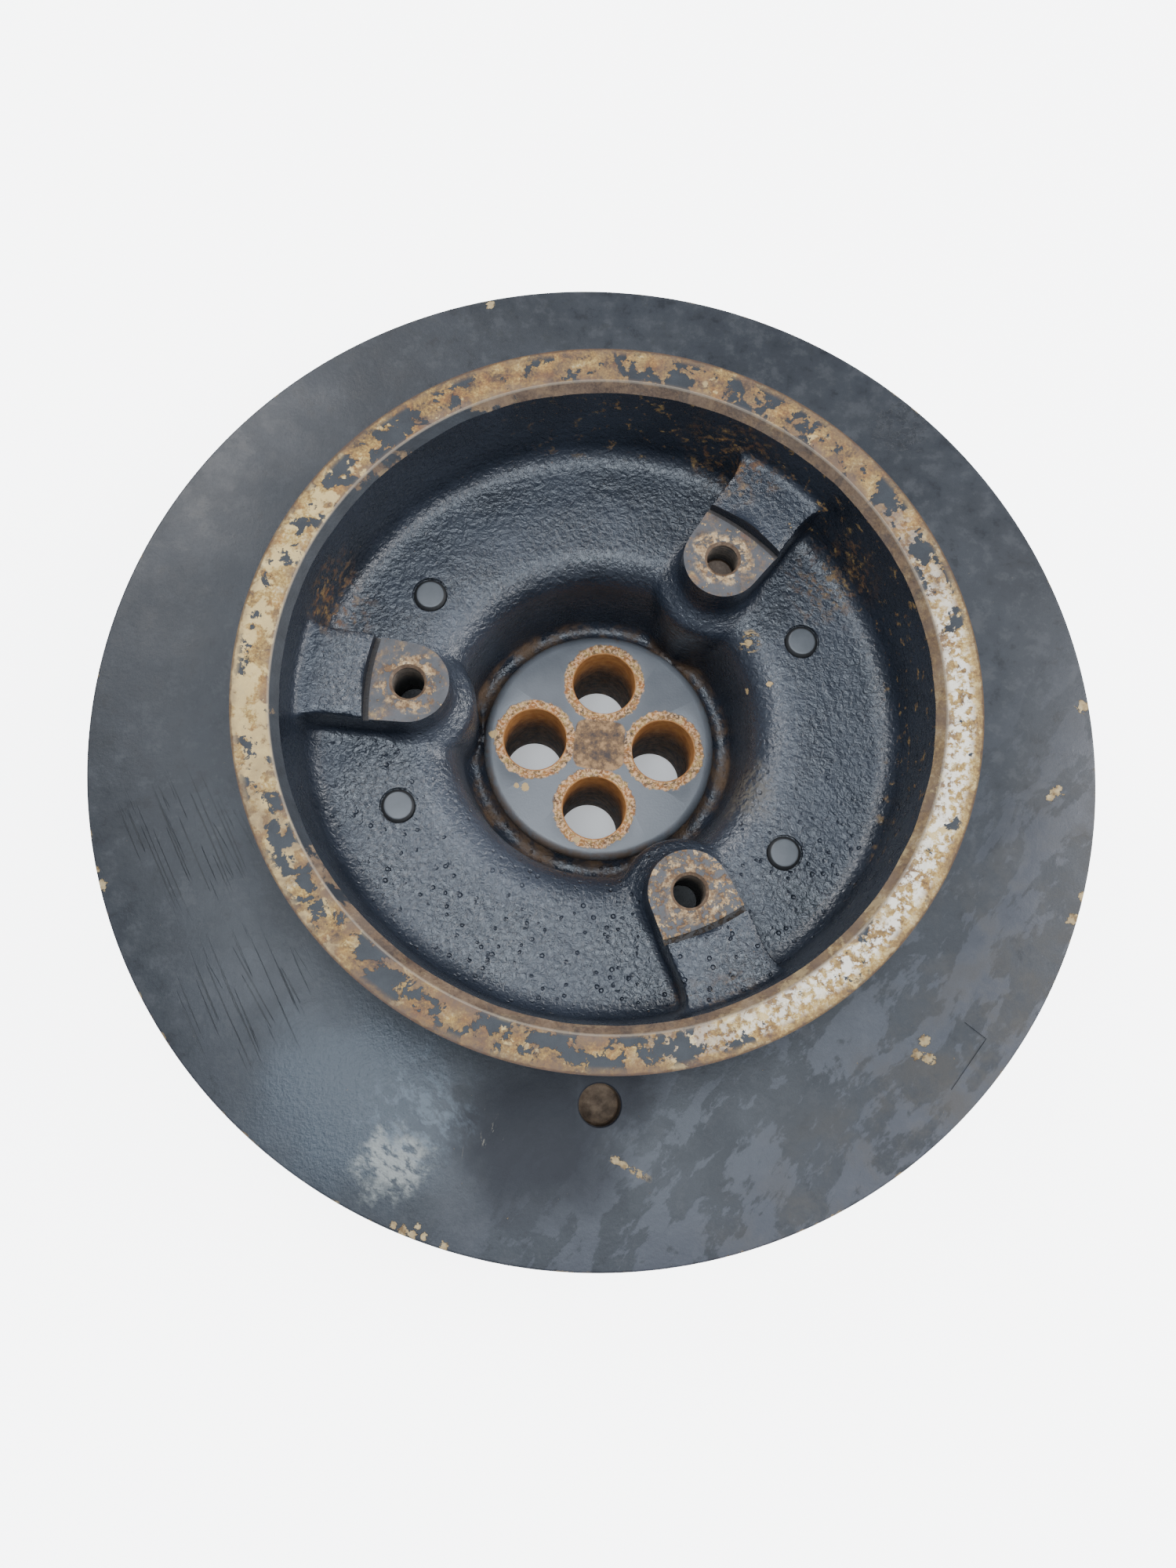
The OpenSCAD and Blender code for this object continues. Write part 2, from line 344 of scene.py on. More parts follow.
def make_carrier():
    """Pressed steel plate and sleeve that carry the rubber, with rounded corners."""
    inner, low, wall = BARREL_R + 0.1, RING_TOP - RING_T + 2, SLEEVE_R - SLEEVE_T
    under = WEB_LOW - CARRIER_T
    section = (
        [(inner, WEB_LOW), (inner, under + 0.6), (inner + 0.6, under)]
        + arc(wall - 3, under - 3, 3, 90, 0, 4)
        + [(wall, low + 1), (wall + 1, low), (SLEEVE_R - 1, low), (SLEEVE_R, low + 1)]
        + arc(SLEEVE_R - 2, WEB_LOW - 2, 2, 0, 90, 4)
    )
    return stand("carrier", turned(section, 240))


def make_rubber():
    """Rubber squeezed between sleeve and ring, bulging in from both faces."""
    low, high = RING_TOP - RING_T + 2, RING_TOP - 2
    inner, outer = SLEEVE_R, RING_BORE_R - 0.05
    sag = [(inner + 1.2, high - 1.1), (inner + 2.2, high - 1.4), (inner + 3.2, high - 0.9)]
    lift = [(inner + 3, low + 0.7), (inner + 2, low + 1.2), (inner + 1, low + 1.3)]
    section = [(inner, high), *sag, (outer, high), (outer, low), *lift, (inner, low + 1)]
    return stand("rubber", turned(section, 240))


def make_pin(index):
    """Pin that holds the carrier to the dish, turned flat with a chamfer."""
    low, high, chamfer = WEB_LOW - CARRIER_T - 2, FLOOR + 0.3, 1.1
    section = [(0, low), (PIN_R - chamfer, low), (PIN_R, low + chamfer), (PIN_R, high - chamfer)]
    section += [(PIN_R - 0.55, high - 0.42), (PIN_R - chamfer, high - 0.06)]
    section += [(PIN_R - chamfer - 0.5, high), (0, high)]
    return stand(f"pin_{index + 1}", gather((turned(section, 48), at(PIN_ANGLES[index], PIN_PCR))))


hub = make_hub()
ring = make_ring()
carrier = make_carrier()
rubber = make_rubber()
pins = [make_pin(i) for i in range(4)]
finish_piece(hub, "hub", "pulley_hub")
finish_piece(ring, "ring", "inertia_ring")
finish_piece(carrier, "hub", "damper_carrier")
finish_piece(rubber, "hub", "rubber_ring")
for i, pin in enumerate(pins):
    finish_piece(pin, "hub", f"carrier_pin_{i + 1}")


# ---------------------------------------------------------------- finishes


class Recipe:
    """A node tree being filled, with short ways to place and join its nodes."""

    def __init__(self, tree):
        self.tree = tree

    def set(self, socket, value):
        if isinstance(value, bpy.types.NodeSocket):
            self.tree.links.new(value, socket)
        else:
            socket.default_value = value

    def node(self, kind, inputs=None, **settings):
        made = self.tree.nodes.new("ShaderNode" + kind)
        for key, value in settings.items():
            setattr(made, key, value)
        for key, value in (inputs or {}).items():
            self.set(made.inputs[key], value)
        return made

    def sum(self, kind, *values, clamp=False):
        """Result of a Math node of that kind."""
        made = self.node("Math", operation=kind, use_clamp=clamp)
        for socket, value in zip(made.inputs, values):
            self.set(socket, value)
        return made.outputs[0]

    def times(self, one, other):
        return self.sum("MULTIPLY", one, other)

    def plus(self, one, other, clamp=False):
        return self.sum("ADD", one, other, clamp=clamp)

    def minus(self, one, other):
        return self.sum("SUBTRACT", one, other)

    def most(self, *masks):
        whole = masks[0]
        for mask in masks[1:]:
            whole = self.sum("MAXIMUM", whole, mask)
        return whole

    def step(self, value, low, high, to_low=0.0, to_high=1.0):
        """Value carried from low..high to to_low..to_high with soft ends; low may be above high."""
        inputs = {"Value": value, "From Min": low, "From Max": high, "To Min": to_low, "To Max": to_high}
        return self.node("MapRange", inputs, interpolation_type="SMOOTHSTEP").outputs["Result"]

    def ramp(self, value, *stops):
        made = self.node("ValToRGB", {"Fac": value})
        keys = made.color_ramp.elements
        while len(keys) < len(stops):
            keys.new(1)
        for key, (place, colour) in zip(keys, stops):
            key.position = place
            key.color = (*colour, 1)
        return made.outputs["Color"]

    def over(self, mask, under, top, kind="MIX"):
        """Colour top laid over colour under where the mask says."""
        made = self.node("Mix", data_type="RGBA", blend_type=kind)
        colours = [(*c, 1) if isinstance(c, tuple) else c for c in (under, top)]
        for place, value in zip((0, 6, 7), (mask, *colours)):
            self.set(made.inputs[place], value)
        return made.outputs[2]

    def blend(self, mask, under, top):
        """Number top in place of number under where the mask says."""
        made = self.node("Mix", data_type="FLOAT")
        for socket, value in zip(made.inputs[:4], (mask, None, under, top)):
            if value is not None:
                self.set(socket, value)
        return made.outputs[0]

    def noise(self, vector, size, detail=4.0, rough=0.55, warp=0.0):
        """Cloudy noise whose features are about size millimetres across."""
        inputs = {
            "Vector": vector, "Scale": 1 / size, "Detail": detail, "Roughness": rough, "Distortion": warp
        }
        return self.node("TexNoise", inputs).outputs["Fac"]

    def use(self, group, inputs=None):
        made = self.node("Group", node_tree=group)
        for key, value in (inputs or {}).items():
            self.set(made.inputs[key], value)
        return made


def effect(name, inputs, outputs):
    """An empty node group with named inputs and outputs, and its recipe."""
    tree = bpy.data.node_groups.new(name, "ShaderNodeTree")
    for key, default in inputs.items():
        kind = "NodeSocketVector" if isinstance(default, tuple) else "NodeSocketFloat"
        socket = tree.interface.new_socket(name=key, in_out="INPUT", socket_type=kind)
        socket.default_value = default
    for key, kind in outputs.items():
        tree.interface.new_socket(name=key, in_out="OUTPUT", socket_type="NodeSocket" + kind)
    recipe = Recipe(tree)
    start, end = tree.nodes.new("NodeGroupInput"), tree.nodes.new("NodeGroupOutput")
    return tree, recipe, start.outputs, end.inputs


def place_effect():
    """Where a point lies on the part: in millimetres, and by its radius and height."""
    tree, r, _, ends = effect("place", {}, {"Millimetres": "Vector", "Radius": "Float", "Height": "Float"})
    here = r.node("TexCoord").outputs["Object"]
    scaled = r.node("VectorMath", {0: here, "Scale": 1000.0}, operation="SCALE").outputs[0]
    split = r.node("SeparateXYZ", {0: scaled}).outputs
    flat = r.node("CombineXYZ", {0: split[0], 1: split[1]}).outputs[0]
    radius = r.node("VectorMath", {0: flat}, operation="LENGTH").outputs["Value"]
    for key, value in (("Millimetres", scaled), ("Radius", radius), ("Height", split[2])):
        r.set(ends[key], value)
    return tree


def islands_effect():
    """Ragged islands, as paint or rust leaves them: Amount 0 has none and 1 covers all."""
    tree, r, given, ends = effect(
        "islands",
        {"Vector": (0, 0, 0), "Size": 8.0, "Amount": 0.5, "Softness": 0.02, "Seed": 0.0},
        {"Mask": "Float"},
    )
    offset = r.node("CombineXYZ", {0: given["Seed"], 1: given["Seed"], 2: given["Seed"]}).outputs[0]
    moved = r.node("VectorMath", {0: given["Vector"], 1: offset}, operation="ADD").outputs[0]
    scale = r.sum("DIVIDE", 1.0, given["Size"])
    cloud = r.node(
        "TexNoise", {"Vector": moved, "Scale": scale, "Detail": 8.0, "Roughness": 0.64, "Distortion": 0.25}
    ).outputs["Fac"]
    edge = r.step(given["Amount"], 0.0, 1.0, 0.78, 0.22)
    mask = r.step(cloud, r.minus(edge, given["Softness"]), r.plus(edge, given["Softness"]))
    r.set(ends["Mask"], mask)
    return tree


def patch_effect():
    """A ragged round patch about Centre, in millimetres."""
    tree, r, given, ends = effect(
        "patch",
        {"Vector": (0, 0, 0), "Centre": (0, 0, 0), "Radius": 3.0, "Ragged": 0.5, "Softness": 0.1},
        {"Mask": "Float"},
    )
    away = r.node(
        "VectorMath", {0: given["Vector"], 1: given["Centre"]}, operation="DISTANCE"
    ).outputs["Value"]
    share = r.sum("DIVIDE", away, given["Radius"])
    scale = r.sum("DIVIDE", 1.1, given["Radius"])
    cloud = r.node(
        "TexNoise", {"Vector": given["Vector"], "Scale": scale, "Detail": 6.0, "Roughness": 0.65}
    ).outputs["Fac"]
    bent = r.plus(share, r.times(r.minus(cloud, 0.5), r.times(given["Ragged"], 4.0)))
    low, high = r.plus(1.0, given["Softness"]), r.minus(1.0, given["Softness"])
    r.set(ends["Mask"], r.step(bent, low, high))
    return tree


def rust_effect():
    """Rust of many tones with its grain: Light moves it from dark brown to cream."""
    tree, r, given, ends = effect(
        "rust",
        {"Vector": (0, 0, 0), "Size": 6.0, "Light": 0.5, "Orange": 0.5},
        {"Color": "Color", "Height": "Float", "Tone": "Float"},
    )
    vector = given["Vector"]
    wide = r.node(
        "TexNoise",
        {"Vector": vector, "Scale": r.sum("DIVIDE", 1.0, given["Size"]), "Detail": 8.0, "Roughness": 0.7},
    )
    grain = r.noise(vector, 0.9, 3.0, 0.7)
    clouds = r.times(r.minus(wide.outputs["Fac"], 0.5), 1.6)
    specks = r.times(r.minus(grain, 0.5), 0.8)
    tone = r.plus(r.plus(clouds, specks), given["Light"], clamp=True)
    colour = r.ramp(
        tone,
        (0.10, (0.020, 0.013, 0.010)),
        (0.32, (0.080, 0.048, 0.026)),
        (0.50, (0.215, 0.125, 0.038)),
        (0.68, (0.360, 0.240, 0.080)),
        (0.92, (0.580, 0.480, 0.290)),
    )
    hot = r.times(r.step(r.noise(vector, 5.0, 5.0, 0.6), 0.42, 0.66), given["Orange"])
    r.set(ends["Color"], r.over(hot, colour, (0.25, 0.085, 0.018)))
    r.set(ends["Height"], r.times(r.plus(grain, wide.outputs["Fac"]), 0.1))
    r.set(ends["Tone"], tone)
    return tree


def cast_effect():
    """Thick paint over a sand casting: rounded wrinkles with pits, height in millimetres."""
    tree, r, given, ends = effect(
        "cast_skin", {"Vector": (0, 0, 0), "Size": 2.4, "Depth": 0.5, "Pits": 0.3}, {"Height": "Float"}
    )
    scale = r.sum("DIVIDE", 1.0, given["Size"])
    wrinkle = r.node(
        "TexNoise",
        {"Vector": given["Vector"], "Scale": scale, "Detail": 3.5, "Roughness": 0.55, "Distortion": 0.5},
    )
    swell = r.noise(given["Vector"], 6.5, 2.0)
    cells = r.node("TexVoronoi", {"Vector": given["Vector"], "Scale": r.times(scale, 0.55)}, feature="F1")
    sparse = r.step(r.noise(given["Vector"], 4.0, 2.0), 0.46, 0.58)
    pits = r.times(r.step(cells.outputs["Distance"], 0.30, 0.12), sparse)
    pits = r.times(pits, given["Pits"])
    height = r.plus(r.times(wrinkle.outputs["Fac"], given["Depth"]), r.times(swell, 0.25))
    r.set(ends["Height"], r.minus(height, r.times(pits, 0.45)))
    return tree


def turning_effect():
    """Fine rings left by the lathe, height in millimetres."""
    tree, r, given, ends = effect(
        "turning", {"Radius": 0.0, "Pitch": 0.3, "Depth": 0.004}, {"Height": "Float"}
    )
    turns = r.sum("DIVIDE", given["Radius"], given["Pitch"])
    uneven = r.node(
        "TexNoise", {"W": turns, "Scale": 1.0, "Detail": 2.0}, noise_dimensions="1D"
    ).outputs["Fac"]
    r.set(ends["Height"], r.times(uneven, given["Depth"]))
    return tree


PLACE, ISLANDS, PATCH, RUST, CAST, TURNING = (
    make() for make in (place_effect, islands_effect, patch_effect, rust_effect, cast_effect, turning_effect)
)


class Finish(Recipe):
    """A material in the making, with the part's own coordinates ready."""

    def __init__(self, name, **constants):
        self.material = bpy.data.materials.new(name)
        self.material.use_nodes = True
        super().__init__(self.material.node_tree)
        self.shader = self.tree.nodes["Principled BSDF"]
        for key, value in constants.items():
            self.shader.inputs[key.replace("_", " ")].default_value = value
        where = self.use(PLACE).outputs
        self.here, self.radius, self.height = where["Millimetres"], where["Radius"], where["Height"]

    def drawn(self, angle, length, width=1.0):
        """Coordinates in which a pattern comes out stretched along the direction angle."""
        turn = {"Vector": self.here, "Rotation": (0, 0, math.radians(angle)), "Scale": (length, width, 1)}
        return self.node("Mapping", turn, vector_type="TEXTURE").outputs[0]

    def islands(self, size, amount, softness=0.02, seed=0.0, vector=None):
        inputs = {
            "Vector": vector or self.here, "Size": size, "Amount": amount, "Softness": softness, "Seed": seed
        }
        return self.use(ISLANDS, inputs).outputs["Mask"]

    def patch(self, x, y, z, radius, ragged=0.5, softness=0.1):
        inputs = {
            "Vector": self.here, "Centre": (x, y, z), "Radius": radius, "Ragged": ragged, "Softness": softness
        }
        return self.use(PATCH, inputs).outputs["Mask"]

    def rust(self, size, light, orange=0.5):
        return self.use(RUST, {"Vector": self.here, "Size": size, "Light": light, "Orange": orange}).outputs

    def towards(self, angle, low=-1.0, high=1.0):
        """0 to 1 across the part in the direction angle, from low to high millimetres along it."""
        turn = math.radians(angle)
        way = (math.cos(turn), math.sin(turn), 0)
        along = self.node("VectorMath", {0: self.here, 1: way}, operation="DOT_PRODUCT").outputs["Value"]
        return self.step(along, low, high)

    def done(self, colour, roughness, height):
        """Joins the finish to its shader; height is in millimetres."""
        self.set(self.shader.inputs["Base Color"], colour)
        self.set(self.shader.inputs["Roughness"], roughness)
        bump = self.node("Bump", {"Height": height, "Strength": 1.0, "Distance": MM})
        self.set(self.shader.inputs["Normal"], bump.outputs[0])
        return self.material


TAN = (0.40, 0.27, 0.12)
KHAKI = (0.16, 0.13, 0.085)
BROWN = (0.075, 0.042, 0.020)


def dish_paint():
    """Thick wrinkled blue-black paint in the dish, with rust freckles on the wall, dust low down and a
    painted bluish sheen on the walls of the hub well.
    """
    f = Finish("dish_paint", Specular_IOR_Level=0.6)
    cast = f.use(
        CAST, {"Vector": f.here, "Size": 1.7, "Depth": 0.60, "Pits": f.towards(-90, -30, 60)}
    ).outputs
    cloud = f.noise(f.here, 22, 4.0)
    colour = f.ramp(cloud, (0.3, (0.010, 0.013, 0.019)), (0.7, (0.020, 0.025, 0.036)))
    wall = f.step(f.radius, 92, 97)
    freckles = f.times(f.islands(4.0, 0.35, 0.04), f.times(wall, f.towards(35, 10, 95)))
    left = f.patch(-88, 36, 92, 13, 0.3, 0.5)
    low = f.times(f.patch(36, -92, 86, 14, 0.3, 0.5), 0.8)
    right = f.patch(42, 88, 98, 15, 0.3, 0.5)
    under_arm = f.patch(76, 48, 90, 13, 0.3, 0.5)
    corners = f.times(f.most(left, low, right, under_arm), f.islands(3.0, 0.46, 0.06, 3.0))
    spots = f.times(f.islands(1.6, 0.24, 0.03, 9.0), f.step(f.radius, 40, 105))
    rusty = f.most(freckles, corners, spots)
    rust = f.rust(4.0, 0.34, 0.35)
    colour = f.over(f.times(rusty, 0.8), colour, rust["Color"])
    well = f.times(f.step(f.radius, 68, 60), f.step(f.height, 50, 58))
    # Painted reflection: the hub well's walls are lightened bluish grey towards the left and, more weakly,
    # towards the right.
    painted_well_sheen = f.times(well, f.step(f.noise(f.here, 9, 3.0), 0.3, 0.6, 0.6, 1.0))
    painted_well_sheen = f.times(painted_well_sheen, f.most(f.towards(195, 15, 55), f.times(f.towards(-20, 25, 60), 0.7)))
    colour = f.over(f.times(painted_well_sheen, 0.7), colour, (0.046, 0.052, 0.066))
    groove = f.times(f.step(f.height, 48, 44.5), f.step(f.radius, 49, 46.5))
    dirt = f.times(groove, f.islands(9.0, 0.45, 0.12, 4.0))
    colour = f.over(dirt, colour, BROWN)
    dust = f.times(f.patch(49, -23, 72, 9, 0.5, 0.5), f.islands(2.2, 0.50, 0.1, 6.0))
    colour = f.over(f.times(dust, 0.55), colour, KHAKI)
    flaked = f.times(
        f.patch(49.3, 29, 78.5, 3.7, 0.2, 0.3), f.islands(2.4, 0.46, 0.02, 33.0, f.drawn(-8, 2.4))
    )
    chips = f.most(
        flaked,
        f.patch(49.3, 29, 78.6, 1.5, 0.8),
        f.patch(48.5, 13.5, 73, 1.1, 0.8),
        f.patch(1, 56, 77, 0.9),
        f.patch(55.5, 14, 79.5, 1.0, 0.8),
        f.patch(60, 62, 99, 1.3, 0.8),
        f.patch(-52, 10, 79, 1.0),
    )
    colour = f.over(chips, colour, TAN)
    roughness = f.blend(f.most(rusty, dirt, dust, chips), f.step(cloud, 0.3, 0.7, 0.22, 0.33), 0.75)
    height = f.plus(cast["Height"], f.times(f.noise(f.here, 0.5, 2.0), 0.012))
    height = f.plus(height, f.times(rusty, 0.03))
    return f.done(colour, roughness, f.minus(height, f.times(chips, 0.12)))


def rim_rust():
    """Rusted front face of the rim: ochre and cream, with islands of the old grey paint."""
    f = Finish("rim_rust", Specular_IOR_Level=0.35)
    cream_side = f.towards(-25, 42, 100)
    ochre_side = f.towards(182, 60, 104)
    light = f.plus(f.blend(cream_side, 0.48, 0.60), f.times(ochre_side, 0.12))
    inner = f.step(f.radius, 107, 102)
    rust = f.rust(7.0, light, f.blend(cream_side, 0.30, 0.10))
    colour = f.over(f.times(inner, f.islands(8.0, 0.5, 0.15, 12.0)), rust["Color"], (0.13, 0.085, 0.060))
    flakes = f.islands(7.0, f.plus(f.blend(cream_side, 0.36, 0.42), f.times(ochre_side, 0.16)), 0.03, 5.0)
    colour = f.over(f.times(flakes, 0.75), colour, (0.54, 0.40, 0.18))
    middle = f.times(f.step(f.radius, 112.6, 110.5), f.step(f.radius, 101.5, 103.5))
    crystals = f.times(f.islands(2.2, 0.50, 0.05, 8.0), f.islands(10.0, 0.66, 0.12, 81.0))
    inward = f.step(f.radius, 111.8, 108.5)
    crystals = f.times(crystals, f.times(cream_side, f.times(middle, inward)))
    colour = f.over(f.times(crystals, 0.85), colour, (0.74, 0.70, 0.61))
    brims = f.times(f.minus(1.0, middle), f.islands(6.0, 0.55, 0.15, 44.0))
    colour = f.over(f.times(brims, 0.55), colour, (0.11, 0.072, 0.045))
    dim = f.most(f.towards(235, 55, 100), f.times(f.towards(62, 50, 100), 0.75))
    dim = f.times(dim, f.islands(9.0, 0.52, 0.15, 91.0))
    colour = f.over(f.times(dim, 0.72), colour, (0.105, 0.066, 0.045))
    old = f.most(f.towards(240, 45, 100), f.towards(130, 60, 108), f.towards(50, 55, 100))
    paint = f.times(f.islands(8.0, f.blend(old, 0.36, 0.47), 0.012, 21.0), f.blend(middle, 0.3, 1.0))
    chamfer = f.times(
        f.step(f.height, 117.9, 117.6),
        f.islands(14.0, f.blend(f.towards(165, 20, 95), 0.2, 0.62), 0.02, 31.0),
    )
    paint = f.most(paint, chamfer)
    bevel = f.times(f.step(f.height, 117.95, 117.7), f.blend(cream_side, 0.75, 0.35))
    colour = f.over(
        bevel, colour, f.ramp(rust["Tone"], (0.2, (0.045, 0.028, 0.020)), (0.8, (0.17, 0.115, 0.075)))
    )
    colour = f.over(
        paint, colour, f.ramp(f.noise(f.here, 6), (0.3, (0.014, 0.016, 0.020)), (0.8, (0.028, 0.032, 0.038)))
    )
    worn = f.plus(f.radius, f.times(f.noise(f.here, 3.0), 1.4))
    edge = f.step(worn, 113.2, 113.9)
    colour = f.over(f.times(edge, 0.8), colour, (0.050, 0.026, 0.016))
    # Painted highlight: a thin lighter line along the edge where the chamfer meets the face.
    crease = f.step(f.sum("ABSOLUTE", f.minus(f.radius, 102.2)), 0.5, 0.1)
    colour = f.over(f.times(crease, 0.3), colour, (0.42, 0.36, 0.28))
    roughness = f.blend(paint, f.step(rust["Tone"], 0.2, 0.9, 0.62, 0.85), 0.52)
    rings = f.use(TURNING, {"Radius": f.radius, "Pitch": 0.5, "Depth": 0.015}).outputs["Height"]
    height = f.plus(rust["Height"], f.times(f.most(paint, flakes), 0.07))
    return f.done(colour, roughness, f.plus(height, rings))


def pad_rust():
    """Machined boss pads: grey-brown with crusts round the holes, the lower one mostly cream."""
    f = Finish("pad_rust")
    lower, upper = f.towards(-67, 20, 40), f.towards(53, 20, 40)
    rust = f.rust(4.0, f.blend(upper, 0.32, 0.38), f.blend(upper, 0.15, 0.5))
    paint = f.ramp(f.noise(f.here, 5), (0.3, (0.034, 0.033, 0.036)), (0.7, (0.066, 0.064, 0.068)))
    rim = [f.patch(*at(a, BOSS_PCR, PAD).translation, 9.3, 0.35, 0.12) for a in BOSS_ANGLES]
    crust = f.most(
        f.times(f.most(*rim), f.islands(3.0, 0.52, 0.04, 2.0)),
        f.islands(2.0, f.blend(lower, 0.33, 0.46), 0.03, 14.0),
    )
    colour = f.over(f.times(f.islands(6.0, 0.40, 0.1, 17.0), 0.75), paint, rust["Color"])
    colour = f.over(
        crust,
        colour,
        f.ramp(
            rust["Tone"], (0.2, (0.12, 0.065, 0.03)), (0.45, (0.34, 0.23, 0.12)), (0.75, (0.56, 0.47, 0.33))
        ),
    )
    groove = f.step(f.radius, 75.0, 75.25)
    colour = f.over(f.times(groove, 0.9), colour, (0.022, 0.015, 0.012))
    height = f.plus(rust["Height"], f.times(crust, 0.09))
    return f.done(colour, f.blend(crust, 0.55, 0.82), height)


def plate_paint():
    """Satin grey paint on the hub plate, rusted round each bore and bare brown in the middle."""
    f = Finish("plate_paint")
    cloud = f.noise(f.here, 12, 4.0)
    colour = f.ramp(cloud, (0.3, (0.070, 0.074, 0.082)), (0.7, (0.098, 0.103, 0.113)))
    wobble = f.times(f.minus(f.noise(f.here, 2.2, 5.0, 0.6), 0.5), 3.4)
    rings = []
    for angle in CRANK_ANGLES:
        spot = at(angle, CRANK_PCR, PLATE).translation
        away = f.node("VectorMath", {0: f.here, 1: spot}, operation="DISTANCE").outputs["Value"]
        rings.append(f.step(f.plus(away, wobble), 14.7, 14.0))
    halo = f.most(*rings)
    rust = f.rust(2.4, 0.46, 0.9)
    speck = f.islands(1.1, 0.48, 0.05, 11.0)
    ring_colour = f.over(f.times(speck, 0.7), rust["Color"], (0.62, 0.38, 0.21))
    colour = f.over(halo, colour, ring_colour)
    centred = f.node("Mapping", {"Vector": f.here, "Rotation": (0, 0, math.radians(4.6))}).outputs[0]
    sides = f.node(
        "SeparateXYZ", {0: f.node("VectorMath", {0: centred}, operation="ABSOLUTE").outputs[0]}
    ).outputs
    corner = f.sum("POWER", f.plus(f.sum("POWER", sides[0], 5.0), f.sum("POWER", sides[1], 5.0)), 0.2)
    square = f.step(f.plus(corner, f.times(wobble, 0.35)), 9.3, 8.7)
    bare = f.ramp(
        f.noise(f.here, 5.0, 8.0, 0.75),
        (0.40, (0.045, 0.032, 0.028)),
        (0.5, (0.13, 0.074, 0.036)),
        (0.6, (0.30, 0.175, 0.080)),
    )
    colour = f.over(square, colour, bare)
    side = f.step(f.height, 47.5, 45.5)
    grime = f.times(
        f.most(side, f.step(f.radius, 37.5, 40.5)),
        f.islands(5.0, f.blend(f.towards(235, 5, 38), 0.34, 0.58), 0.12, 7.0),
    )
    colour = f.over(f.times(grime, 0.8), colour, BROWN)
    chips = f.most(
        f.patch(-26, -15.5, PLATE, 1.4),
        f.patch(-29, -15, PLATE, 0.9),
        f.patch(-37.6, 3.5, PLATE, 1.5),
        f.patch(-8, -34, PLATE, 1.0),
    )
    colour = f.over(chips, colour, TAN)
    roughness = f.blend(f.most(halo, square, grime, chips), f.step(cloud, 0.3, 0.7, 0.29, 0.38), 0.8)
    height = f.plus(f.times(f.noise(f.here, 0.8, 3.0), 0.05), f.times(rust["Height"], halo))
    return f.done(colour, roughness, f.plus(height, f.times(square, 0.08)))


def bore_rust():
    """Rusted bores, orange at the mouth and pitted further down, where the colour is painted dark as shade.
    """
    f = Finish("bore_rust")
    # Painted shade: each bore's colour goes from orange at the mouth to dark brown further down; the same
    # mask deepens the pits there.
    deep_pits_and_painted_shade = f.step(f.height, 46, 24)
    tone = f.noise(f.here, 3.0, 6.0, 0.65)
    top = f.ramp(tone, (0.3, (0.22, 0.080, 0.018)), (0.7, (0.38, 0.175, 0.050)))
    bottom = f.ramp(tone, (0.35, (0.030, 0.019, 0.013)), (0.7, (0.15, 0.085, 0.045)))
    pits = f.islands(2.2, 0.45, 0.06, 3.0)
    height = f.times(f.plus(tone, f.times(pits, deep_pits_and_painted_shade)), 0.25)
    return f.done(f.over(deep_pits_and_painted_shade, top, bottom), 0.7, height)


def thread_rust():
    """Tapped holes: oily dark threads painted near black further down as shade, brown at the countersink and
    at the bottom.
    """
    f = Finish("thread_rust")
    tone = f.noise(f.here, 2.0, 6.0, 0.7)
    mouth = f.step(f.height, 95.5, 97.0)
    upper_bottom = f.times(f.towards(53, 20, 40), f.step(f.height, 85.5, 84.5))
    colour = f.ramp(tone, (0.3, (0.028, 0.021, 0.016)), (0.7, (0.10, 0.072, 0.048)))
    brown = f.ramp(
        tone, (0.3, (0.060, 0.032, 0.018)), (0.55, (0.12, 0.075, 0.045)), (0.75, (0.24, 0.17, 0.11))
    )
    # Painted shade: the threads turn near black further down the hole.
    colour = f.over(f.step(f.height, 93, 84), colour, (0.006, 0.005, 0.004))
    return f.done(f.over(f.most(mouth, upper_bottom), colour, brown), 0.55, f.times(tone, 0.15))


def outside_iron():
    """Turned outside and rear: worn black paint, brown rust in the grooves, bare steel on the nose."""
    f = Finish("outside_iron", Metallic=0.0)
    cloud = f.noise(f.here, 18, 5.0)
    paint = f.ramp(cloud, (0.3, (0.016, 0.018, 0.021)), (0.7, (0.034, 0.037, 0.042)))
    rust = f.rust(5.0, 0.26, 0.5)
    nose = f.times(f.step(f.height, 33, 31.5), f.step(f.radius, 43.5, 43))
    grooves = f.step(f.radius, 113.0, 111.5)
    belt = f.times(f.step(f.radius, 108, 109), f.times(grooves, 0.6))
    mask = f.most(f.islands(9.0, 0.36, 0.03, 2.0), f.times(belt, f.islands(4.0, 0.6, 0.1, 5.0)))
    steel = f.ramp(f.noise(f.here, 9, 6.0, 0.65), (0.3, (0.10, 0.095, 0.09)), (0.7, (0.20, 0.19, 0.175)))
    colour = f.over(mask, f.over(nose, paint, steel), rust["Color"])
    rings = f.use(
        TURNING, {"Radius": f.plus(f.radius, f.height), "Pitch": 0.35, "Depth": 0.02}
    ).outputs["Height"]
    height = f.plus(rings, f.times(rust["Height"], mask))
    return f.done(colour, f.blend(mask, 0.42, 0.8), height)


# Chips of the ring: middle and radius of each
RING_CHIPS = (
    (160, -17, 2.1), (157.5, -19.5, 1.4), (108, -102.5, 1.8), (105, -107, 1.8), (109, -108.5, 2.0),
    (4.5, -140.5, 1.3), (12.5, -145, 1.0), (-63, -161.5, 1.5), (-60, -163, 1.3),
    (-56.5, -163.5, 1.1), (-50, -166.5, 1.3), (-66, -160, 1.0), (-58.5, -160.5, 0.9),
    (-166, -52, 1.6), (-168, -47, 1.0), (166, -54, 1.5), (162, -62, 2.0), (172, 14, 2.0),
    (-41, 167.5, 1.5),
)


